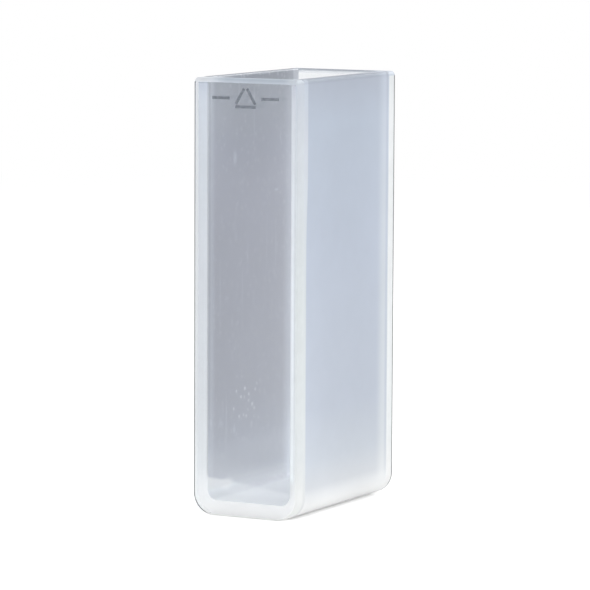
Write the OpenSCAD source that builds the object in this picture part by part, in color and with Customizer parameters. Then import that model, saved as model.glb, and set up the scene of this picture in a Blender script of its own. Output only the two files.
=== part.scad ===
// Open-topped rectangular cuvette for light measurements.
// A one-piece U of frosted glass makes the two side walls and the floor.
// Two polished windows are fused on, face to face, over its open ends.
// X runs across the windows, Y along the light path and Z up.
// The origin is at the middle of the underside.

/* [Cell] */
// Width across the outsides of the two frosted side walls
cell_w = 12.5; // [8:0.25:30]
// Height from the underside to the rim
cell_h = 47; // [20:1:100]
// Light path, between the inner faces of the two windows
light_path = 20; // [5:0.5:100]

/* [Frosted frame] */
// Thickness of each side wall
wall_t = 1.25; // [0.8:0.05:2.5]
// Thickness of the floor
floor_t = 1.5; // [0.8:0.05:3]
// Radius of the rounded corners outside, under the cell
outer_corner_r = 2.4; // [1:0.1:3.5]
// Radius of the rounded corners inside, at the floor
inner_corner_r = 1.15; // [0.3:0.05:2.5]

/* [Windows] */
// Thickness of each polished window
window_t = 1.5; // [0.8:0.05:3]

/* [Ground edges] */
// Bevel round the outside of the rim
rim_bevel = 0.35; // [0.1:0.05:0.6]
// Bevel round the outer face of each window
edge_bevel = 0.2; // [0.05:0.05:0.4]

/* [Hidden] */
cell_d = light_path + 2 * window_t;
cavity_w = cell_w - 2 * wall_t;
// how far a cut runs past the face that it opens
past = 2;
glass_blue = [0.80, 0.86, 0.92, 0.45];
frost_white = [0.90, 0.93, 0.97, 0.85];
$fn = 96;

// Upright outline that stands on Y = 0 and has its two lower corners rounded
module upright_outline(w, h, r) {
    translate([-w / 2, r]) square([w, h - r]);
    translate([-w / 2 + r, 0]) square([w - 2 * r, r]);
    for (side = [-1, 1])
        translate([side * (w / 2 - r), r]) circle(r);
}

// The outline as a slab that faces -Y and fills y0 to y0 + t
module upright_slab(w, h, r, y0, t)
    translate([0, y0 + t, 0]) rotate([90, 0, 0]) linear_extrude(t) upright_outline(w, h, r);

// Square bar along X, turned on its corner, that cuts a bevel where an edge lies on its axis
module bevel_bar(length, bevel)
    rotate([45, 0, 0]) cube([length, bevel * sqrt(2), bevel * sqrt(2)], center = true);

// Cuts for the rim's four outer edges
module rim_cuts() {
    for (side = [-1, 1]) {
        translate([0, side * cell_d / 2, cell_h]) bevel_bar(cell_w + past, rim_bevel);
        translate([side * cell_w / 2, 0, cell_h]) rotate([0, 0, 90]) bevel_bar(cell_d + past, rim_bevel);
    }
}

// Cut that follows one rounded lower corner of a window's outer face, in the quarter below its centre
module corner_cut(side)
    intersection() {
        rotate([90, 0, 0]) rotate_extrude()
            translate([outer_corner_r, 0]) rotate(45) square(edge_bevel * sqrt(2), center = true);
        translate([side > 0 ? 0 : -outer_corner_r - past, -past, -outer_corner_r - past])
            cube([outer_corner_r + past, 2 * past, outer_corner_r + past]);
    }

// Cuts round the sides and the foot of the window face that lies at Y = 0
module face_cuts() {
    upright = cell_h - outer_corner_r + past;
    bevel_bar(cell_w - 2 * outer_corner_r, edge_bevel);
    for (side = [-1, 1]) {
        translate([side * cell_w / 2, 0, outer_corner_r + upright / 2])
            rotate([0, 90, 0]) bevel_bar(upright, edge_bevel);
        translate([side * (cell_w / 2 - outer_corner_r), 0, outer_corner_r]) corner_cut(side);
    }
}

// Window whose outer face is at the cell's -Y end
module window()
    difference() {
        upright_slab(cell_w, cell_h, outer_corner_r, -cell_d / 2, window_t);
        translate([0, -cell_d / 2, 0]) face_cuts();
        rim_cuts();
    }

module u_frame()
    color(frost_white)
        difference() {
            upright_slab(cell_w, cell_h, outer_corner_r, -light_path / 2, light_path);
            translate([0, 0, floor_t])
                upright_slab(cavity_w, cell_h, inner_corner_r, -cell_d / 2, cell_d);
            rim_cuts();
        }

module front_window() color(glass_blue) window();

module rear_window() color(glass_blue) mirror([0, 1, 0]) window();

u_frame();
front_window();
rear_window();
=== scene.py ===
import math

import bmesh
import bpy
from mathutils import Matrix, Vector


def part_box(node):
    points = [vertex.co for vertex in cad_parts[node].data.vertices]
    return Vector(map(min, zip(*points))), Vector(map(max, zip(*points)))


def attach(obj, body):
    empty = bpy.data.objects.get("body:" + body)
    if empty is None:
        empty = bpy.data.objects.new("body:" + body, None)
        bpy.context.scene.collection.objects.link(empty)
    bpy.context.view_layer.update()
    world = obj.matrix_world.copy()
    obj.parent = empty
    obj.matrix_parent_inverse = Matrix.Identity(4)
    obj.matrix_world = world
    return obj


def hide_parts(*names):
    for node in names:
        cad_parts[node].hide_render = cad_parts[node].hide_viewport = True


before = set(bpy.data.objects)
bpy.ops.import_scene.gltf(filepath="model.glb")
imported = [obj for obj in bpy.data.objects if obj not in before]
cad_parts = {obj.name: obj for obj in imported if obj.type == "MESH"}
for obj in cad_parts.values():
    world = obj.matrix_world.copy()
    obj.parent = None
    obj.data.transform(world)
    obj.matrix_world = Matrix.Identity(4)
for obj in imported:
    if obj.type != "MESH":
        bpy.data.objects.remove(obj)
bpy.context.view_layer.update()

frontLow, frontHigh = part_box("front_window")
rearLow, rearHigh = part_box("rear_window")
frameLow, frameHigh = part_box("u_frame")

# metres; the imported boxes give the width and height
cell = {
    "width": frontHigh.x - frontLow.x,
    "height": frontHigh.z - frontLow.z,
    "wall": 0.00125,
    "floor": 0.0015,
    "outerRadius": 0.0024,
    "innerRadius": 0.00115,
    "rimInset": 0.00035,  # the chamfer round the mouth, across and down
    "rimDrop": 0.00048,
    "lipInset": 0.00014,  # the small one on the inside of the mouth
    "lipDrop": 0.00022,
    "edgeBevel": 0.0002,
    "bondGap": 0.00001,
    "arcSteps": 16,
    "rimSteps": 5,
    "smoothAngle": 20,  # degrees; sharper edges stay sharp
}

# what the quartz finishes share
quartz = {
    "ior": 1.46,
    "toothDistance": 0.00002,
    "scatterWeight": 0.3,
    "scatterReach": 0.001,
}


def srgb(red, green, blue):
    # 0 to 255 as a screen shows it, to the linear colour a shader takes
    def linear(value):
        share = value / 255
        return share / 12.92 if share <= 0.04045 else ((share + 0.055) / 1.055) ** 2.4
    return (linear(red), linear(green), linear(blue), 1.0)


def addNode(tree, kind, **values):
    node = tree.nodes.new(kind)
    for name, value in values.items():
        setattr(node, name, value)
    return node


def plug(tree, value, socket):
    # a socket is linked, anything else is set as the input's own value
    if isinstance(value, bpy.types.NodeSocket):
        tree.links.new(value, socket)
    else:
        socket.default_value = value


def maths(tree, operation, *values, clamp=False):
    node = addNode(tree, "ShaderNodeMath", operation=operation, use_clamp=clamp)
    for value, socket in zip(values, node.inputs):
        plug(tree, value, socket)
    return node.outputs[0]


def product(tree, first, *others):
    for value in others:
        first = maths(tree, "MULTIPLY", first, value)
    return first


def vectorMaths(tree, operation, *values):
    # a length or a dot product comes out at Value, the rest at Vector
    node = addNode(tree, "ShaderNodeVectorMath", operation=operation)
    for value, socket in zip(values, node.inputs):
        plug(tree, value, socket)
    return node.outputs


def fade(tree, value, start, end):
    # 0 at start and 1 at end, with soft shoulders
    node = addNode(tree, "ShaderNodeMapRange", interpolation_type="SMOOTHSTEP")
    plug(tree, value, node.inputs["Value"])
    plug(tree, start, node.inputs["From Min"])
    plug(tree, end, node.inputs["From Max"])
    return node.outputs["Result"]


def mixColour(tree, share, first, second):
    # the mix node repeats its socket names for each kind of value, so the colour ones go by number
    node = addNode(tree, "ShaderNodeMix", data_type="RGBA")
    plug(tree, share, node.inputs[0])
    plug(tree, first, node.inputs[6])
    plug(tree, second, node.inputs[7])
    return node.outputs[2]


def scaleColour(tree, colour, share):
    node = addNode(tree, "ShaderNodeVectorMath", operation="SCALE")
    plug(tree, colour, node.inputs[0])
    plug(tree, share, node.inputs["Scale"])
    return node.outputs[0]


def stretched(tree, vector, scale):
    node = addNode(tree, "ShaderNodeMapping")
    plug(tree, vector, node.inputs["Vector"])
    node.inputs["Scale"].default_value = scale
    return node.outputs[0]


def noise(tree, vector, scale, detail, roughness=0.5):
    node = addNode(tree, "ShaderNodeTexNoise")
    plug(tree, vector, node.inputs["Vector"])
    plug(tree, scale, node.inputs["Scale"])
    plug(tree, detail, node.inputs["Detail"])
    plug(tree, roughness, node.inputs["Roughness"])
    return node.outputs["Fac"]


def newGroup(name, inputs, outputs):
    group = bpy.data.node_groups.new(name, "ShaderNodeTree")
    for label, value in inputs.items():
        kind = "NodeSocketVector" if value is None else "NodeSocketFloat"
        socket = group.interface.new_socket(name=label, in_out="INPUT", socket_type=kind)
        if value is not None:
            socket.default_value = value
    for label in outputs:
        group.interface.new_socket(name=label, in_out="OUTPUT", socket_type="NodeSocketFloat")
    return group, addNode(group, "NodeGroupInput").outputs, addNode(group, "NodeGroupOutput").inputs


def useGroup(tree, group, **values):
    node = addNode(tree, "ShaderNodeGroup", node_tree=group)
    for name, value in values.items():
        plug(tree, value, node.inputs[name])
    return node.outputs


def newMaterial(name):
    material = bpy.data.materials.new(name)
    material.use_nodes = True
    tree = material.node_tree
    tree.nodes.clear()
    return material, tree, addNode(tree, "ShaderNodeOutputMaterial").inputs["Surface"]


def principled(tree, **values):
    node = addNode(tree, "ShaderNodeBsdfPrincipled")
    for name, value in values.items():
        plug(tree, value, node.inputs[name])
    return node.outputs[0]


def mixShaders(tree, share, first, second):
    node = addNode(tree, "ShaderNodeMixShader")
    for value, socket in zip((share, first, second), node.inputs):
        plug(tree, value, socket)
    return node.outputs[0]


def objectPoint(tree):
    return addNode(tree, "ShaderNodeTexCoord").outputs["Object"]


def axis(tree, vector, name):
    node = addNode(tree, "ShaderNodeSeparateXYZ")
    plug(tree, vector, node.inputs[0])
    return node.outputs[name]


def bump(tree, height, strength, distance):
    node = addNode(tree, "ShaderNodeBump")
    plug(tree, height, node.inputs["Height"])
    node.inputs["Strength"].default_value = strength
    node.inputs["Distance"].default_value = distance
    return node.outputs[0]


def buildGroundGrain():
    # finely ground glass: faint clouds in its tone, and a tooth too fine to count
    group, given, sink = newGroup(
        "groundGrain",
        {"Vector": None, "Cloud Scale": 230.0, "Cloud Depth": 0.03, "Tooth Scale": 9000.0},
        ["Tone", "Tooth"],
    )
    cloud = noise(group, given["Vector"], given["Cloud Scale"], detail=3.0, roughness=0.55)
    tooth = noise(group, given["Vector"], given["Tooth Scale"], detail=3.0, roughness=0.7)
    centred = maths(group, "SUBTRACT", fade(group, cloud, start=0.25, end=0.75), 0.5)
    plug(group, maths(group, "MULTIPLY_ADD", centred, given["Cloud Depth"], 1.0), sink["Tone"])
    plug(group, tooth, sink["Tooth"])
    return group


def buildHeightShare():
    # 0 at the foot and 1 at the mouth, with a slight wander like a hand-ground edge
    group, given, sink = newGroup(
        "heightShare",
        {"Vector": None, "Height": cell["height"], "Wander": 0.00004, "Wander Scale": 900.0},
        ["Share"],
    )
    wander = noise(group, given["Vector"], given["Wander Scale"], detail=2.0)
    wander = maths(group, "SUBTRACT", wander, 0.5)
    height = maths(group, "MULTIPLY_ADD", wander, given["Wander"], axis(group, given["Vector"], "Z"))
    plug(group, maths(group, "DIVIDE", height, given["Height"], clamp=True), sink["Share"])
    return group


def buildPaintedBondMask():
    # a mask for painted light and shade by a bonded window: 1 at the bond, 0 from Reach on, soft over
    # Edge
    group, given, sink = newGroup(
        "paintedBondMask", {"Vector": None, "Bond": 0.01, "Reach": 0.001, "Edge": 0.00025}, ["Glow"]
    )
    depth = axis(group, given["Vector"], "Y")
    distance = maths(group, "ABSOLUTE", maths(group, "SUBTRACT", depth, given["Bond"]))
    inner = maths(group, "SUBTRACT", given["Reach"], given["Edge"])
    plug(group, fade(group, distance, given["Reach"], inner), sink["Glow"])
    return group


def buildDust():
    # sparse specks that sit on the glass
    group, given, sink = newGroup(
        "dust", {"Vector": None, "Scale": 900.0, "Size": 0.18, "Share": 0.06}, ["Specks"]
    )
    cells = addNode(group, "ShaderNodeTexVoronoi")
    plug(group, given["Vector"], cells.inputs["Vector"])
    plug(group, given["Scale"], cells.inputs["Scale"])
    picked = maths(group, "LESS_THAN", axis(group, cells.outputs["Color"], "X"), given["Share"])
    dot = fade(group, cells.outputs["Distance"], given["Size"], 0.0)
    plug(group, maths(group, "MULTIPLY", picked, dot), sink["Specks"])
    return group


def buildRubbing():
    # long faint marks where the cell slides in and out of its holder
    group, given, sink = newGroup(
        "rubbing", {"Vector": None, "Scale": 1.0, "Low": 0.56, "High": 0.75}, ["Streaks"]
    )
    upright = stretched(group, given["Vector"], (1400.0, 1400.0, 60.0))
    streak = noise(group, upright, given["Scale"], detail=2.0, roughness=0.6)
    plug(group, fade(group, streak, given["Low"], given["High"]), sink["Streaks"])
    return group


groundGrain = buildGroundGrain()
heightShare = buildHeightShare()
paintedBondMask = buildPaintedBondMask()
dust = buildDust()
rubbing = buildRubbing()


def colourRamp(tree, share, stops):
    node = addNode(tree, "ShaderNodeValToRGB")
    plug(tree, share, node.inputs[0])
    steps = node.color_ramp.elements
    while len(steps) < len(stops):
        steps.new(1.0)
    for step, (place, colour) in zip(steps, stops):
        step.position = place
        step.color = srgb(*colour)
    return node.outputs[0]


def heightRamp(tree, point, stops):
    # stops run from the foot, 0, to the mouth, 1
    return colourRamp(tree, useGroup(tree, heightShare, Vector=point)["Share"], stops)


def nearBond(tree, point, bond, reach, edge=0.00025):
    # bond is how far back the bonded face lies
    return useGroup(tree, paintedBondMask, Vector=point, Bond=bond, Reach=reach, Edge=edge)["Glow"]


def milkyGlass(tree, colour, tooth, look):
    # ground quartz: matt, and light runs a little way inside it
    return principled(tree, **{
        "Base Color": colour,
        "Roughness": maths(tree, "MULTIPLY_ADD", tooth, look["toothRoughness"], look["roughness"]),
        "IOR": quartz["ior"],
        "Normal": bump(tree, tooth, look["toothStrength"], quartz["toothDistance"]),
        "Subsurface Weight": quartz["scatterWeight"],
        "Subsurface Radius": (1.0, 1.0, 1.0),
        "Subsurface Scale": quartz["scatterReach"],
    })


# the ground outsides of the u frame
frostedLook = {
    # painted light and shade: darkest at the rim and lightest at the foot
    "heights": [
        (0.0, (244, 244, 244)), (0.03, (241, 242, 242)), (0.07, (212, 216, 221)),
        (0.13, (198, 205, 214)), (0.25, (186, 194, 207)), (0.6, (181, 190, 205)),
        (0.9, (177, 187, 202)), (0.989, (169, 177, 191)), (0.9965, (140, 148, 161)),
    ],
    # painted light and shade by the two bonds, as colours by height
    "rearBondShadingHeights": [
        (0.0, (242, 243, 243)), (0.15, (223, 228, 230)), (0.5, (212, 218, 221)),
        (0.85, (204, 210, 219)), (0.989, (193, 201, 213)), (0.9965, (176, 184, 196)),
    ],
    "frontBondShadingHeights": [
        (0.0, (229, 230, 230)), (0.07, (220, 223, 224)), (0.12, (214, 218, 220)),
        (0.26, (210, 215, 217)), (0.5, (204, 210, 213)), (0.73, (203, 209, 216)),
        (0.87, (198, 203, 212)), (0.967, (191, 199, 210)), (0.989, (188, 196, 208)),
        (0.9965, (160, 168, 180)),
    ],
    # how far the painted light by each bond reaches; the front one widens between the two heights
    "frontBondShadingReach": 0.0007,
    "frontBondShadingWider": 0.0003,
    "frontBondShadingWiden": (0.029, 0.037),
    "rearBondShadingReach": 0.0003,
    "rearGlow": 0.003,
    "rearGlowEdge": 0.002,
    "rearGlowStrength": 0.57,
    "rearDip": 0.0009,  # the glow is weaker again this near the bond
    "rearDipEdge": 0.00045,
    "rearDipStrength": 0.42,
    # painted light: low down, the end by the front window is the lighter one
    "lean": 0.08,
    "leanMiddle": 0.45,
    "leanHeights": (0.036, 0.012),
    # painted light: both ends are a shade lighter than the middle
    "bowl": 0.3,
    "bowlMiddle": 0.52,
    "bowlBase": -0.018,
    # painted shade: the lower corner by the front window is a shade darker
    "cornerShade": 0.08,
    "cornerDepth": (0.3, 0.0),  # shares of the way back
    "cornerHeight": (0.0065, 0.0018),
    "grain": {"Cloud Depth": 0.03},
    "roughness": 0.42,
    "toothRoughness": 0.12,
    "toothStrength": 0.1,
}


def makeFrosted():
    look = frostedLook
    material, tree, output = newMaterial("frostedGlass")
    point = objectPoint(tree)
    height = axis(tree, point, "Z")
    grain = useGroup(tree, groundGrain, Vector=point, **look["grain"])
    colour = heightRamp(tree, point, look["heights"])
    # painted light by the two bonds
    rearBondShadingColour = heightRamp(tree, point, look["rearBondShadingHeights"])
    frontBondShadingColour = heightRamp(tree, point, look["frontBondShadingHeights"])
    widen = fade(tree, height, *look["frontBondShadingWiden"])
    frontReach = maths(tree, "MULTIPLY_ADD", widen, look["frontBondShadingWider"], look["frontBondShadingReach"])
    glow = nearBond(tree, point, frameHigh.y, look["rearGlow"], look["rearGlowEdge"])
    dip = nearBond(tree, point, frameHigh.y, look["rearDip"], look["rearDipEdge"])
    strength = maths(tree, "MULTIPLY_ADD", dip, -look["rearDipStrength"], look["rearGlowStrength"])
    colour = mixColour(tree, product(tree, glow, strength), colour, rearBondShadingColour)
    colour = mixColour(tree, nearBond(tree, point, frameHigh.y, look["rearBondShadingReach"]), colour, rearBondShadingColour)
    colour = mixColour(tree, nearBond(tree, point, frameLow.y, frontReach), colour, frontBondShadingColour)
    # painted light and shade: slow changes of tone from end to end, as a share of the depth
    depth = maths(tree, "SUBTRACT", axis(tree, point, "Y"), frameLow.y)
    depth = maths(tree, "DIVIDE", depth, frameHigh.y - frameLow.y)
    lean = maths(tree, "SUBTRACT", look["leanMiddle"], depth)
    lean = product(tree, lean, fade(tree, height, *look["leanHeights"]))
    tone = maths(tree, "MULTIPLY_ADD", lean, look["lean"], grain["Tone"])
    fromMiddle = maths(tree, "ABSOLUTE", maths(tree, "SUBTRACT", depth, look["bowlMiddle"]))
    bowl = maths(tree, "POWER", fromMiddle, 2.0)
    tone = maths(tree, "ADD", tone, maths(tree, "MULTIPLY_ADD", bowl, look["bowl"], look["bowlBase"]))
    corner = fade(tree, height, *look["cornerHeight"])
    corner = product(tree, corner, fade(tree, depth, *look["cornerDepth"]))
    tone = maths(tree, "MULTIPLY_ADD", corner, -look["cornerShade"], tone)
    plug(tree, milkyGlass(tree, scaleColour(tree, colour, tone), grain["Tooth"], look), output)
    return material


# the walls and floor that hold the sample
insideLook = {
    # painted light and shade: darker towards the mouth
    "heights": [
        (0.0, (201, 204, 211)), (0.12, (200, 203, 210)), (0.16, (195, 198, 206)),
        (0.26, (190, 192, 200)), (0.6, (190, 192, 201)), (0.75, (192, 194, 204)),
        (0.82, (186, 189, 200)), (0.9, (176, 180, 190)), (0.98, (161, 166, 175)),
        (1.0, (156, 161, 170)),
    ],
    # painted light and shade near the floor: the foot ramps run from the floor up, over footReach, and
    # fade out over these shares of it
    "footReach": 0.008,
    "footFade": (0.8, 0.6),
    "foot": [
        (0.0, (216, 219, 222)), (0.005, (206, 209, 214)), (0.019, (191, 194, 201)),
        (0.043, (187, 189, 197)), (0.073, (197, 200, 207)), (0.106, (209, 212, 217)),
        (0.144, (216, 218, 224)), (0.17, (216, 218, 224)), (0.2, (211, 214, 219)),
        (0.238, (205, 208, 215)), (0.325, (200, 203, 210)), (0.56, (202, 205, 212)),
        (0.75, (198, 201, 209)),
    ],
    "litFoot": [
        (0.0, (233, 235, 236)), (0.005, (226, 229, 231)), (0.019, (210, 213, 216)),
        (0.043, (208, 211, 214)), (0.073, (221, 224, 227)), (0.106, (241, 244, 246)),
        (0.144, (254, 255, 255)), (0.2, (255, 255, 255)),
    ],
    # painted light where light gets in under the front window
    "litReach": (0.02, 0.0106, 0.0025),  # across, back and up
    "litSoft": 0.11,
    "litHalo": 1.4,
    "litHaloShare": 0.22,
    "litAcross": 12.0,  # how much lighter the lit floor is made per metre across, where less light falls
    # a painted highlight on the inner foot
    "gleamColour": (255, 255, 255),
    "gleamPlace": (-0.0059, 0.0027),  # back and up, then half size
    "gleamSize": (0.0021, 0.0008),
    # painted light and painted shade by the windows, pale strips and shades: how far from the bond, how
    # soft and how strong
    "stripColour": (232, 236, 242),
    "frontStrip": 0.0018,
    "frontStripEdge": 0.0011,
    "frontStripStrength": 0.3,
    "frontShade": 0.0006,
    "frontShadeHeights": (0.006, 0.012),
    "frontShadeDepth": 0.11,
    # painted shade on the floor near the front window
    "floorShade": (0.0055, 0.003),  # the floor is a little darker this near the front window
    "floorShadeHeights": (0.0022, 0.0016),
    "floorShadeDepth": 0.06,
    "rearStrip": 0.0014,
    "rearStripFull": 0.8,  # share of the height below which it gains all of rearStripMore
    "rearStripMore": 0.35,
    "rearStripStrength": 0.3,
    "rearGlow": 0.0034,
    "rearGlowEdge": 0.002,
    "rearGlowStrength": 0.24,
    # what the rear glow gains or loses from one height to another
    "rearGlowChanges": [(0.16, (0.045, 0.02)), (0.22, (0.0105, 0.006)), (-0.1, (0.0425, 0.0455))],
    "streaks": {"Low": 0.6, "High": 0.78},
    "streakStrength": 0.2,
    # dust, with one patch of it on the far wall, back and up
    "specks": {"Scale": 1400.0, "Size": 0.5, "Share": 0.6},
    "dustColour": (250, 251, 253),
    "dustStrength": 0.15,
    "dustPlace": (-0.0017, 0.0112),
    "dustSize": (0.0045, 0.0045),
    "dustMore": 0.5,
    # pale patches, one wide and faint, the rest small: back and up, half size, and how strong
    "palePatches": [
        ((-0.007, 0.0445), (0.0035, 0.0055), 0.07),
        ((-0.0041, 0.038), (0.0006, 0.0011), 0.35),
        ((0.0054, 0.0339), (0.0007, 0.0002), 0.4),
        ((0.0027, 0.0326), (0.0003, 0.0002), 0.35),
        ((-0.0059, 0.0229), (0.0008, 0.0003), 0.15),
        ((-0.0041, 0.0084), (0.0004, 0.0008), 0.3),
        ((-0.0072, 0.0094), (0.0007, 0.0004), 0.2),
        ((-0.0093, 0.0097), (0.0003, 0.0006), 0.4),
    ],
    "grain": {"Cloud Depth": 0.02},
    "roughness": 0.3,
    "toothRoughness": 0.1,
    "toothStrength": 0.06,
}


def footShare(tree, point):
    up = maths(tree, "SUBTRACT", axis(tree, point, "Z"), cell["floor"])
    return maths(tree, "DIVIDE", up, insideLook["footReach"], clamp=True)


def nearPlace(tree, point, place, size, core=0.2):
    # 1 at a place given as back and up, 0 beyond size
    offset = vectorMaths(tree, "SUBTRACT", point, (0, *place))["Vector"]
    scaled = stretched(tree, offset, (0, 1 / size[0], 1 / size[1]))
    return fade(tree, vectorMaths(tree, "LENGTH", scaled)["Value"], 1.0, core)


def lightFloor(tree, point, colour):
    # painted light on the front corner of the foot, where light comes in under the window
    look = insideLook
    corner = Vector((cell["wall"] - cell["width"] / 2, frameLow.y, cell["floor"]))
    fromCorner = vectorMaths(tree, "SUBTRACT", point, corner)["Vector"]
    litFoot = colourRamp(tree, footShare(tree, point), look["litFoot"])
    across = maths(tree, "MULTIPLY_ADD", axis(tree, fromCorner, "X"), look["litAcross"], 1.0)
    litFoot = scaleColour(tree, litFoot, across)
    slopes = [1 / size for size in look["litReach"]]
    reach = vectorMaths(tree, "DOT_PRODUCT", fromCorner, slopes)["Value"]
    lit = fade(tree, reach, 1 + look["litSoft"], 1 - look["litSoft"])
    halo = fade(tree, reach, 1 + look["litHalo"], 1.0)
    lit = maths(tree, "MAXIMUM", lit, product(tree, halo, look["litHaloShare"]))
    colour = mixColour(tree, lit, colour, litFoot)
    # painted highlight
    gleam = nearPlace(tree, point, look["gleamPlace"], look["gleamSize"])
    return mixColour(tree, gleam, colour, srgb(*look["gleamColour"]))


def makeInside():
    look = insideLook
    material, tree, output = newMaterial("insideGlass")
    point = objectPoint(tree)
    height = axis(tree, point, "Z")
    pale = srgb(*look["stripColour"])
    grain = useGroup(tree, groundGrain, Vector=point, **look["grain"])
    colour = heightRamp(tree, point, look["heights"])
    share = footShare(tree, point)
    nearFloor = fade(tree, share, *look["footFade"])
    colour = mixColour(tree, nearFloor, colour, colourRamp(tree, share, look["foot"]))
    # painted light by the two bonds
    glowStrength = look["rearGlowStrength"]
    for change, heights in look["rearGlowChanges"]:
        glowStrength = maths(tree, "MULTIPLY_ADD", fade(tree, height, *heights), change, glowStrength)
    glow = nearBond(tree, point, frameHigh.y, look["rearGlow"], look["rearGlowEdge"])
    colour = mixColour(tree, product(tree, glow, glowStrength), colour, pale)
    frontStrip = nearBond(tree, point, frameLow.y, look["frontStrip"], look["frontStripEdge"])
    colour = mixColour(tree, product(tree, frontStrip, look["frontStripStrength"]), colour, pale)
    below = fade(tree, height, cell["height"], cell["height"] * look["rearStripFull"])
    stripStrength = maths(tree, "MULTIPLY_ADD", below, look["rearStripMore"], look["rearStripStrength"])
    rearStrip = nearBond(tree, point, frameHigh.y, look["rearStrip"])
    colour = mixColour(tree, product(tree, rearStrip, stripStrength), colour, pale)
    # wear and dust, and pale patches
    streaks = useGroup(tree, rubbing, Vector=point, **look["streaks"])["Streaks"]
    colour = mixColour(tree, product(tree, streaks, look["streakStrength"]), colour, pale)
    specks = useGroup(tree, dust, Vector=point, **look["specks"])["Specks"]
    patch = nearPlace(tree, point, look["dustPlace"], look["dustSize"])
    patch = maths(tree, "MULTIPLY_ADD", patch, look["dustMore"], look["dustStrength"])
    colour = mixColour(tree, product(tree, specks, patch), colour, srgb(*look["dustColour"]))
    for place, size, strength in look["palePatches"]:
        palePatch = nearPlace(tree, point, place, size)
        colour = mixColour(tree, product(tree, palePatch, strength), colour, pale)
    colour = lightFloor(tree, point, colour)
    # painted shade by the front window and on the floor near it
    shade = nearBond(tree, point, frameLow.y, look["frontShade"])
    shade = product(tree, shade, fade(tree, height, *look["frontShadeHeights"]))
    tone = maths(tree, "MULTIPLY_ADD", shade, -look["frontShadeDepth"], 1.0)
    depth = maths(tree, "SUBTRACT", axis(tree, point, "Y"), frameLow.y)
    shade = fade(tree, depth, *look["floorShade"])
    shade = product(tree, shade, fade(tree, height, *look["floorShadeHeights"]))
    tone = maths(tree, "MULTIPLY_ADD", shade, -look["floorShadeDepth"], tone)
    colour = scaleColour(tree, colour, product(tree, tone, grain["Tone"]))
    plug(tree, milkyGlass(tree, colour, grain["Tooth"], look), output)
    return material


# the ends that the windows are bonded to, and the top of the rim
endLook = {
    # painted light and shade: lighter at the foot and darkest at the rim
    "heights": [
        (0.0, (231, 229, 227)), (0.06, (230, 230, 230)), (0.11, (217, 219, 220)),
        (0.35, (207, 209, 212)), (0.58, (206, 208, 212)), (0.82, (202, 205, 210)),
        (0.95, (200, 204, 211)), (0.985, (198, 203, 212)), (0.991, (142, 150, 163)),
    ],
    # painted shade: the lower corner of the opening is softer and darker beside the near wall, between
    # these heights
    "footShade": 0.12,
    "footShadeWidth": 0.0006,
    "footShadeFrom": (0.001, 0.003),
    "footShadeTo": (0.0048, 0.004),
    # painted light: the near wall's rim is lighter towards the rear window
    "rimGlow": (200, 207, 218),
    "rimGlowDepth": (0.004, 0.0092),
    "rimGlowStrength": 0.8,
    # painted shade: the far outer edge of the rim is the darkest part of the mouth
    "rimDark": (84, 90, 102),
    "rimDarkWidth": 0.00045,
    "rimDarkSoft": 0.4,  # share of that width
    "rimDarkDrop": 0.0002,
    "rimDarkStrength": 0.95,
    # a painted highlight, a bright line along the near wall by the bond, and a painted shade, a fine
    # dark line along the far wall
    "bondFrom": (0.0035, 0.0045),  # height
    "lineWidth": 0.0005,
    "lineCore": (0.3, 0.6),  # the shares of that width between which it is full
    "line": [
        (0.0, (232, 236, 237)), (0.1, (230, 234, 235)), (0.25, (225, 228, 230)),
        (0.45, (226, 229, 233)), (0.69, (219, 222, 226)), (0.9, (206, 209, 214)),
        (0.98, (194, 197, 205)),
    ],
    "shadeWidth": 0.00018,
    "shadeSoft": 0.5,  # share of that width
    "shadeDepth": 0.3,
    "grain": {"Cloud Depth": 0.025},
    "roughness": 0.4,
    "toothRoughness": 0.1,
    "toothStrength": 0.08,
}


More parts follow.
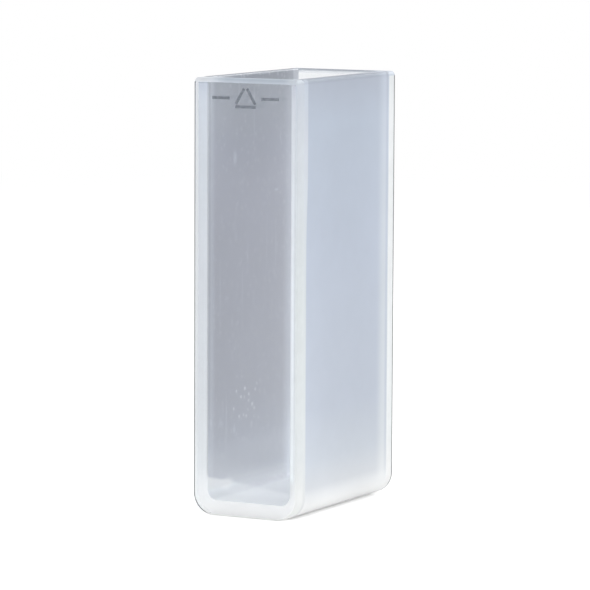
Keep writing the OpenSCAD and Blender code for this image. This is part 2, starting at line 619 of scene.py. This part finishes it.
def makeEnds():
    look = endLook
    material, tree, output = newMaterial("endGlass")
    point = objectPoint(tree)
    across = axis(tree, point, "X")
    height = axis(tree, point, "Z")
    onNearWall = maths(tree, "GREATER_THAN", across, 0.0)
    onFarWall = maths(tree, "LESS_THAN", across, 0.0)
    opening = cell["width"] / 2 - cell["wall"]
    grain = useGroup(tree, groundGrain, Vector=point, **look["grain"])
    colour = heightRamp(tree, point, look["heights"])
    above = fade(tree, height, *look["bondFrom"])
    inner, outer = [opening + look["lineWidth"] * share for share in look["lineCore"]]
    # painted highlight along the near wall by the bond
    line = product(
        tree,
        fade(tree, across, opening + look["lineWidth"], outer),
        fade(tree, across, opening, inner),
        above,
    )
    colour = mixColour(tree, line, colour, heightRamp(tree, point, look["line"]))
    rimGlow = product(
        tree,
        fade(tree, height, cell["height"] - cell["rimDrop"], cell["height"] - cell["lipDrop"]),
        fade(tree, axis(tree, point, "Y"), *look["rimGlowDepth"]),
        onNearWall,
        look["rimGlowStrength"],
    )
    colour = mixColour(tree, rimGlow, colour, srgb(*look["rimGlow"]))
    edge = look["rimDarkWidth"] + cell["rimInset"] - cell["width"] / 2
    rimDark = product(
        tree,
        fade(tree, across, edge, edge - look["rimDarkWidth"] * look["rimDarkSoft"]),
        fade(tree, height, cell["height"] - look["rimDarkDrop"], cell["height"]),
        look["rimDarkStrength"],
    )
    colour = mixColour(tree, rimDark, colour, srgb(*look["rimDark"]))
    # painted shade along the far wall by the bond
    shadeStart = -opening - look["shadeWidth"]
    shadeFull = -opening - look["shadeWidth"] * look["shadeSoft"]
    bondShade = product(tree, fade(tree, across, shadeStart, shadeFull), onFarWall, above)
    tone = maths(tree, "MULTIPLY_ADD", bondShade, -look["shadeDepth"], grain["Tone"])
    footShade = product(
        tree,
        fade(tree, across, opening + look["footShadeWidth"], opening),
        fade(tree, height, *look["footShadeFrom"]),
        fade(tree, height, *look["footShadeTo"]),
        onNearWall,
    )
    tone = maths(tree, "MULTIPLY_ADD", footShade, -look["footShade"], tone)
    plug(tree, milkyGlass(tree, scaleColour(tree, colour, tone), grain["Tooth"], look), output)
    return material


# the windows' clear faces
clearLook = {
    "tint": (245, 247, 249),
    "lampTint": (254, 254, 254),
    "roughness": 0.012,
    "streaks": {"Scale": 2.5, "Low": 0.62, "High": 0.7},
    "specks": {"Scale": 1500.0},
    "wearRoughness": 0.08,
    "wearStrength": 0.05,
    "wearDistance": 0.000005,
}


def lampsPass(tree, shader, tint):
    # lamp light goes straight through the glass instead of leaving a solid shadow
    through = addNode(tree, "ShaderNodeBsdfTransparent")
    through.inputs["Color"].default_value = srgb(*tint)
    shadowRay = addNode(tree, "ShaderNodeLightPath").outputs["Is Shadow Ray"]
    return mixShaders(tree, shadowRay, shader, through.outputs[0])


def makeClear():
    look = clearLook
    material, tree, output = newMaterial("clearGlass")
    point = objectPoint(tree)
    streaks = useGroup(tree, rubbing, Vector=point, **look["streaks"])["Streaks"]
    specks = useGroup(tree, dust, Vector=point, **look["specks"])["Specks"]
    wear = maths(tree, "MAXIMUM", streaks, specks)
    shader = principled(tree, **{
        "Base Color": srgb(*look["tint"]),
        "Roughness": maths(tree, "MULTIPLY_ADD", wear, look["wearRoughness"], look["roughness"]),
        "IOR": quartz["ior"],
        "Normal": bump(tree, wear, look["wearStrength"], look["wearDistance"]),
        "Transmission Weight": 1.0,
    })
    plug(tree, lampsPass(tree, shader, look["lampTint"]), output)
    return material


# the windows' ground sides and chamfers
groundLook = {
    # one outer edge of each window stays in painted shade: edgeSide is its side, edgeSlopes how far
    # round it and edgeOnto how far onto the side; the rim over the wall is painted lighter, edgeCorner
    # there and plainCorner on the other side; the heights are painted light and shade, lighter at the
    # foot
    "front": {
        "heights": [
            (0.0, (240, 241, 240)), (0.06, (233, 235, 235)), (0.15, (221, 226, 228)),
            (0.5, (214, 220, 222)), (0.85, (205, 211, 218)), (0.96, (196, 203, 213)),
            (0.989, (195, 202, 213)), (0.9965, (172, 182, 194)),
        ],
        "plainCorner": (193, 200, 209),
        "edgeCorner": (238, 241, 246),
        "edgeSide": -1.0,
        "edgeSlopes": (0.45, 0.99),
        "edgeOnto": 0.0,
    },
    "rear": {
        "heights": [
            (0.0, (244, 244, 244)), (0.06, (237, 238, 238)), (0.15, (231, 235, 236)),
            (0.9, (230, 233, 235)), (0.989, (220, 224, 226)), (0.997, (216, 221, 226)),
            (0.9988, (146, 152, 164)),
        ],
        "plainCorner": (176, 184, 195),
        "edgeCorner": (196, 204, 215),
        "edgeSide": 1.0,
        "edgeSlopes": (0.3, 0.6),
        "edgeOnto": 0.00014,
    },
    # across, from the inside of the wall, where each corner's colour starts and where it is full
    "plainCornerReach": (-0.0006, 0.0006),
    "edgeCornerReach": (-0.003, 0.0014),
    "rimSoft": 0.00005,
    "shadedEdgeColour": (48, 52, 62),
    "edgeStrength": 0.95,
    "edgeRimLess": 0.75,  # what it loses along the rim
    "edgeFull": 1 / 3,  # it is full this share of the corner radius in from the side
    "glow": 0.75,
    "glowColour": (216, 218, 221),
    # painted light: the glow from inside is lighter at the foot
    "footGlowColour": (234, 236, 238),
    "footGlow": (0.012, 0.003),
    "lampTint": (238, 238, 238),
    "grain": {"Cloud Scale": 700.0, "Cloud Depth": 0.05},
    "roughness": 0.4,
    "toothRoughness": 0.15,
    "toothStrength": 0.15,
}


def shadedEdge(tree, point, own):
    # the rounded edge that stays in the shade, by how far its surface has turned from the side
    normal = addNode(tree, "ShaderNodeTexCoord").outputs["Normal"]
    slope = maths(tree, "ABSOLUTE", axis(tree, normal, "Y"))
    low, high = own["edgeSlopes"]
    edge = maths(tree, "GREATER_THAN", slope, low)
    if own["edgeOnto"]:
        depth = maths(tree, "ABSOLUTE", axis(tree, point, "Y"))
        shoulder = rearHigh.y - cell["edgeBevel"] - own["edgeOnto"]
        edge = maths(tree, "MAXIMUM", edge, maths(tree, "GREATER_THAN", depth, shoulder))
    return product(tree, edge, maths(tree, "LESS_THAN", slope, high))


def makeGround(name, own):
    look = groundLook
    material, tree, output = newMaterial(name)
    point = objectPoint(tree)
    height = axis(tree, point, "Z")
    across = product(tree, axis(tree, point, "X"), own["edgeSide"])
    half = cell["width"] / 2
    opening = half - cell["wall"]
    rim = cell["height"] - cell["rimDrop"]
    grain = useGroup(tree, groundGrain, Vector=point, **look["grain"])
    colour = heightRamp(tree, point, own["heights"])
    onRim = fade(tree, height, rim - look["rimSoft"], rim + look["rimSoft"])
    # painted light on the rim over the wall
    for side, corner in ((-1.0, "plainCorner"), (1.0, "edgeCorner")):
        start, end = look[corner + "Reach"]
        overWall = fade(tree, product(tree, across, side), opening + start, opening + end)
        colour = mixColour(tree, product(tree, overWall, onRim), colour, srgb(*own[corner]))
    edgeFull = half - cell["outerRadius"] * look["edgeFull"]
    strength = maths(tree, "SUBTRACT", look["edgeStrength"], product(tree, onRim, look["edgeRimLess"]))
    edge = product(
        tree,
        shadedEdge(tree, point, own),
        fade(tree, across, half - cell["outerRadius"], edgeFull),
        strength,
    )
    # painted shade along that edge
    colour = mixColour(tree, edge, colour, srgb(*look["shadedEdgeColour"]))
    tooth = grain["Tooth"]
    matt = principled(tree, **{
        "Base Color": scaleColour(tree, colour, grain["Tone"]),
        "Roughness": maths(tree, "MULTIPLY_ADD", tooth, look["toothRoughness"], look["roughness"]),
        "IOR": quartz["ior"],
        "Normal": bump(tree, tooth, look["toothStrength"], quartz["toothDistance"]),
    })
    # seen from inside the glass, the ground sides glow with the light behind them
    behind = addNode(tree, "ShaderNodeBsdfTranslucent")
    # painted light: the glow from inside is lighter towards the foot
    low = fade(tree, height, *look["footGlow"])
    glowColour = mixColour(tree, low, srgb(*look["glowColour"]), srgb(*look["footGlowColour"]))
    plug(tree, glowColour, behind.inputs["Color"])
    fromInside = addNode(tree, "ShaderNodeNewGeometry").outputs["Backfacing"]
    shader = mixShaders(tree, product(tree, fromInside, look["glow"]), matt, behind.outputs[0])
    plug(tree, lampsPass(tree, shader, look["lampTint"]), output)
    return material


# the etched level mark: a stencil triangle between two bars
markLook = {
    "colour": (106, 112, 122),
    "speckColour": (136, 142, 151),
    "patchScale": 4000.0,
    "patchFade": (0.35, 0.7),
    "roughness": 0.6,
    "grainScale": 9000.0,
    "grainStrength": 0.3,
    "grainDistance": 0.00001,
    "size": 0.0021,
    "halfWidth": 0.58,  # share of the size
    "stroke": 0.00032,
    "apex": 0.55,  # each slanted stroke starts this share of a stroke's width from the middle
    "slant": 0.93,  # and stops short of the level one, which leaves the stencil's gaps
    "bar": 0.0021,
    "gap": 0.0007,
    "fromTop": 0.0021,
    "depth": 0.00002,
}


def makeMarkGrey():
    look = markLook
    material, tree, output = newMaterial("etchedMark")
    point = objectPoint(tree)
    patches = noise(tree, point, look["patchScale"], detail=2.0, roughness=0.6)
    patches = fade(tree, patches, *look["patchFade"])
    grain = noise(tree, point, look["grainScale"], detail=3.0, roughness=0.7)
    plug(tree, principled(tree, **{
        "Base Color": mixColour(tree, patches, srgb(*look["colour"]), srgb(*look["speckColour"])),
        "Roughness": look["roughness"],
        "Normal": bump(tree, grain, look["grainStrength"], look["grainDistance"]),
    }), output)
    return material


frostedGlass = makeFrosted()
insideGlass = makeInside()
endGlass = makeEnds()
clearGlass = makeClear()
frontGround = makeGround("frontGround", groundLook["front"])
rearGround = makeGround("rearGround", groundLook["rear"])
etchedMark = makeMarkGrey()
print("finishes made")


def quarter(steps):
    # sine and cosine from 0 to 90 degrees
    for step in range(steps + 1):
        angle = math.pi / 2 * step / steps
        yield math.sin(angle), math.cos(angle)


def uprightPath(halfWidth, foot, radius, top, inset, drop):
    # from the top left down, round the two lower corners and up to the top right, as x and z
    def corner(side, start):
        for step in range(cell["arcSteps"] + 1):
            angle = math.radians(start + 90 * step / cell["arcSteps"])
            x = side * (halfWidth - radius) + radius * math.cos(angle)
            yield (x, foot + radius + radius * math.sin(angle))
    rim = []
    for sine, cosine in quarter(cell["rimSteps"]):
        rim.append((halfWidth - inset * (1 - sine), top - drop * (1 - cosine)))
    points = [(-x, z) for x, z in rim]
    points += list(corner(-1, 180)) + list(corner(1, 270))
    return points + rim[::-1]


def addRing(mesh, path, depths):
    # depths holds y for each point of the path
    return [mesh.verts.new((x, y, z)) for (x, z), y in zip(path, depths)]


def addFlatRing(mesh, path, y):
    return addRing(mesh, path, [y] * len(path))


def addStrip(mesh, first, second, slot, closed=False):
    count = len(first)
    for i in range(count if closed else count - 1):
        j = (i + 1) % count
        face = mesh.faces.new((first[i], first[j], second[j], second[i]))
        face.material_index = slot


def finishPiece(name, mesh, materials, node):
    bmesh.ops.recalc_face_normals(mesh, faces=mesh.faces)
    data = bpy.data.meshes.new(name)
    mesh.to_mesh(data)
    mesh.free()
    piece = bpy.data.objects.new(name, data)
    bpy.context.scene.collection.objects.link(piece)
    for material in materials:
        data.materials.append(material)
    data.polygons.foreach_set("use_smooth", [True] * len(data.polygons))
    data.set_sharp_from_angle(angle=math.radians(cell["smoothAngle"]))
    weighted = piece.modifiers.new("flatFaces", "WEIGHTED_NORMAL")
    weighted.keep_sharp = True
    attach(piece, "root")
    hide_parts(node)
    return piece


def makeFrame():
    mesh = bmesh.new()
    half, top = cell["width"] / 2, cell["height"]
    outer = uprightPath(half, 0, cell["outerRadius"], top, cell["rimInset"], cell["rimDrop"])
    inner = uprightPath(
        half - cell["wall"], cell["floor"], cell["innerRadius"], top, -cell["lipInset"], cell["lipDrop"]
    )
    near = frameLow.y + cell["bondGap"]
    far = frameHigh.y - cell["bondGap"]
    outerNear = addFlatRing(mesh, outer, near)
    outerFar = addFlatRing(mesh, outer, far)
    innerNear = addFlatRing(mesh, inner, near)
    innerFar = addFlatRing(mesh, inner, far)
    outside, inside, end = 0, 1, 2
    addStrip(mesh, outerNear, outerFar, outside)
    addStrip(mesh, innerNear, innerFar, inside)
    addStrip(mesh, outerNear, innerNear, end)
    addStrip(mesh, outerFar, innerFar, end)
    for last in (0, -1):
        face = mesh.faces.new((outerNear[last], outerFar[last], innerFar[last], innerNear[last]))
        face.material_index = end
    piece = finishPiece("uFrame", mesh, [frostedGlass, insideGlass, endGlass], "u_frame")


def strokeShape(start, end, width):
    # a straight stroke as four corners, x and z
    along = Vector((end[0] - start[0], end[1] - start[1])).normalized()
    side = Vector((-along.y, along.x)) * width / 2
    first, second = Vector(start), Vector(end)
    return [first - side, second - side, second + side, first + side]


def markShapes():
    look = markLook
    size, stroke = look["size"], look["stroke"]
    middle = cell["height"] - look["fromTop"]
    top, foot = middle + size / 2, middle - size / 2
    half = size * look["halfWidth"]
    barStart = half + look["gap"]
    barEnd = barStart + look["bar"]
    shapes = []
    for side in (-1, 1):
        apex = Vector((side * stroke * look["apex"], top))
        slant = Vector((side * half, foot + stroke)) - Vector((side * stroke / 2, top))
        shapes.append(strokeShape(apex, apex + slant * look["slant"], stroke))
        shapes.append(strokeShape((side * barStart, middle), (side * barEnd, middle), stroke))
    shapes.append(strokeShape((-half, foot + stroke / 2), (half, foot + stroke / 2), stroke))
    return shapes


def etchedFace(mesh, ring, outside, way, clearSlot, markSlot):
    # the clear face with the mark sunk into it
    edges = [mesh.edges.get((ring[i - 1], ring[i])) for i in range(len(ring))]
    sunk = outside - way * markLook["depth"]
    for shape in markShapes():
        upper = [mesh.verts.new((x, outside, z)) for x, z in shape]
        lower = [mesh.verts.new((x, sunk, z)) for x, z in shape]
        addStrip(mesh, upper, lower, markSlot, closed=True)
        mesh.faces.new(lower).material_index = markSlot
        edges += [mesh.edges.get((upper[i - 1], upper[i])) for i in range(len(upper))]
    filled = bmesh.ops.triangle_fill(
        mesh, edges=edges, use_beauty=True, use_dissolve=False, normal=(0, -way, 0)
    )
    for item in filled["geom"]:
        if isinstance(item, bmesh.types.BMFace):
            item.material_index = clearSlot


def makeWindow(name, node, inside, outside, ground, marked=False):
    mesh = bmesh.new()
    way = 1 if outside > inside else -1
    half, height = cell["width"] / 2, cell["height"]
    radius, bevel = cell["outerRadius"], cell["edgeBevel"]
    full = uprightPath(half, 0, radius, height, cell["rimInset"], cell["rimDrop"])
    lipped = [(x, min(z, height - cell["lipDrop"])) for x, z in full]
    inset = uprightPath(half - bevel, bevel, radius - bevel, height - cell["rimDrop"], bevel / 2, bevel)
    # how deep the rounding is at each point of the path; it is deeper at the two ends, along the rim
    corner = [bevel + (cell["rimInset"] - bevel) * cosine for sine, cosine in quarter(cell["rimSteps"])]
    depths = corner + [bevel] * (len(full) - 2 * len(corner)) + corner[::-1]

    def turned(sine, cosine):
        # one ring of the rounding from the sides to the outer face
        path = []
        for (x, z), (insetX, insetZ) in zip(full, inset):
            path.append((x + (insetX - x) * (1 - cosine), z + (insetZ - z) * (1 - cosine)))
        return addRing(mesh, path, [outside - way * depth * (1 - sine) for depth in depths])

    rings = [addFlatRing(mesh, lipped, inside), addFlatRing(mesh, full, inside + way * cell["lipInset"])]
    rings += [turned(sine, cosine) for sine, cosine in quarter(cell["rimSteps"])]
    clearSlot, groundSlot, markSlot = 0, 1, 2
    for first, second in zip(rings, rings[1:]):
        addStrip(mesh, first, second, groundSlot, closed=True)
    mesh.faces.new(rings[0]).material_index = clearSlot
    if marked:
        etchedFace(mesh, rings[-1], outside, way, clearSlot, markSlot)
    else:
        mesh.faces.new(rings[-1]).material_index = clearSlot
    piece = finishPiece(name, mesh, [clearGlass, ground] + [etchedMark] * marked, node)


makeFrame()
makeWindow("frontWindow", "front_window", frontHigh.y, frontLow.y, frontGround, marked=True)
makeWindow("rearWindow", "rear_window", rearLow.y, rearHigh.y, rearGround)
print("cell built")


studio = {
    "floorSize": 8.0,
    "floorDrop": 0.00002,  # clear of the cell's own foot
    "floorColour": (240, 240, 240),
    "floorRoughness": 0.9,
    "floorGloss": 0.1,
    "floorLift": 0.32,
    "floorFade": (0.12, 0.45),
    "worldColour": (241, 241, 241),
    "worldStrength": 0.586,
}


def seesBackdrop(tree):
    paths = addNode(tree, "ShaderNodeLightPath").outputs
    either = maths(tree, "MAXIMUM", paths["Is Camera Ray"], paths["Is Glossy Ray"])
    return maths(tree, "MAXIMUM", either, paths["Is Transmission Ray"])


def makeFloor():
    material, tree, output = newMaterial("paleFloor")
    paper = principled(tree, **{
        "Base Color": srgb(*studio["floorColour"]),
        "Roughness": studio["floorRoughness"],
        "Specular IOR Level": studio["floorGloss"],
    })
    white = addNode(tree, "ShaderNodeEmission").outputs[0]
    lift = addNode(tree, "ShaderNodeEmission")
    lift.inputs["Strength"].default_value = studio["floorLift"]
    lifted = addNode(tree, "ShaderNodeAddShader")
    plug(tree, paper, lifted.inputs[0])
    plug(tree, lift.outputs[0], lifted.inputs[1])
    distance = vectorMaths(tree, "LENGTH", objectPoint(tree))["Value"]
    seen = mixShaders(tree, fade(tree, distance, *studio["floorFade"]), lifted.outputs[0], white)
    plug(tree, mixShaders(tree, seesBackdrop(tree), paper, seen), output)
    half = studio["floorSize"] / 2
    corners = [(-half, -half, 0), (half, -half, 0), (half, half, 0), (-half, half, 0)]
    data = bpy.data.meshes.new("floor")
    data.from_pydata(corners, [], [(0, 1, 2, 3)])
    data.materials.append(material)
    floor = bpy.data.objects.new("floor", data)
    floor.location.z = -studio["floorDrop"]
    bpy.context.scene.collection.objects.link(floor)


def makeWorld():
    world = bpy.data.worlds.new("studioAir")
    bpy.context.scene.world = world
    world.use_nodes = True
    tree = world.node_tree
    tree.nodes.clear()
    air = addNode(tree, "ShaderNodeBackground")
    air.inputs["Color"].default_value = srgb(*studio["worldColour"])
    air.inputs["Strength"].default_value = studio["worldStrength"]
    white = addNode(tree, "ShaderNodeBackground")
    white.inputs["Color"].default_value = (1, 1, 1, 1)
    output = addNode(tree, "ShaderNodeOutputWorld").inputs["Surface"]
    plug(tree, mixShaders(tree, seesBackdrop(tree), air.outputs[0], white.outputs[0]), output)


# place, size and watts of each soft lamp; all face the middle of the cell
lamps = {
    "frontLamp": {"place": (0.15, -0.65, 0.5), "size": 0.5, "watts": 2.55},
    "sideLamp": {"place": (0.7, 0.1, 0.35), "size": 0.5, "watts": 1.32},
    "backLamp": {"place": (0.25, 0.6, 0.45), "size": 0.5, "watts": 1.98},
    "leftLamp": {"place": (-0.7, 0.05, 0.3), "size": 0.5, "watts": 1.23},
}


def makeLamps():
    middle = Vector((0, 0, cell["height"] / 2))
    for name, lamp in lamps.items():
        data = bpy.data.lights.new(name, "AREA")
        data.shape = "DISK"
        data.size = lamp["size"]
        data.energy = lamp["watts"]
        item = bpy.data.objects.new(name, data)
        place = Vector(lamp["place"])
        facing = (middle - place).to_track_quat("-Z", "Y").to_matrix().to_4x4()
        item.matrix_world = Matrix.Translation(place) @ facing
        bpy.context.scene.collection.objects.link(item)


# angles in degrees, lens and sensor in millimetres
view = {
    "azimuth": 27.86,
    "distance": 0.4212,
    "height": 0.0694,
    "pitch": 6.297,
    "roll": 0.264,
    "sensor": 36,
    "lens": 237.43,
    "shift": -0.0008,
    "clipStart": 0.01,
}


def makeCamera():
    turn = math.radians(view["azimuth"])
    data = bpy.data.cameras.new("camera")
    data.sensor_width = view["sensor"]
    data.lens = view["lens"]
    data.shift_x = view["shift"]
    data.clip_start = view["clipStart"]
    camera = bpy.data.objects.new("camera", data)
    distance = view["distance"]
    place = Vector((math.sin(turn) * distance, -math.cos(turn) * distance, view["height"]))
    camera.matrix_world = (
        Matrix.Translation(place)
        @ Matrix.Rotation(turn, 4, "Z")
        @ Matrix.Rotation(math.radians(90 - view["pitch"]), 4, "X")
        @ Matrix.Rotation(math.radians(view["roll"]), 4, "Z")
    )
    bpy.context.scene.collection.objects.link(camera)
    bpy.context.scene.camera = camera


makeFloor()
makeWorld()
makeLamps()
makeCamera()
bpy.context.scene.view_settings.view_transform = "Standard"
print("studio set")
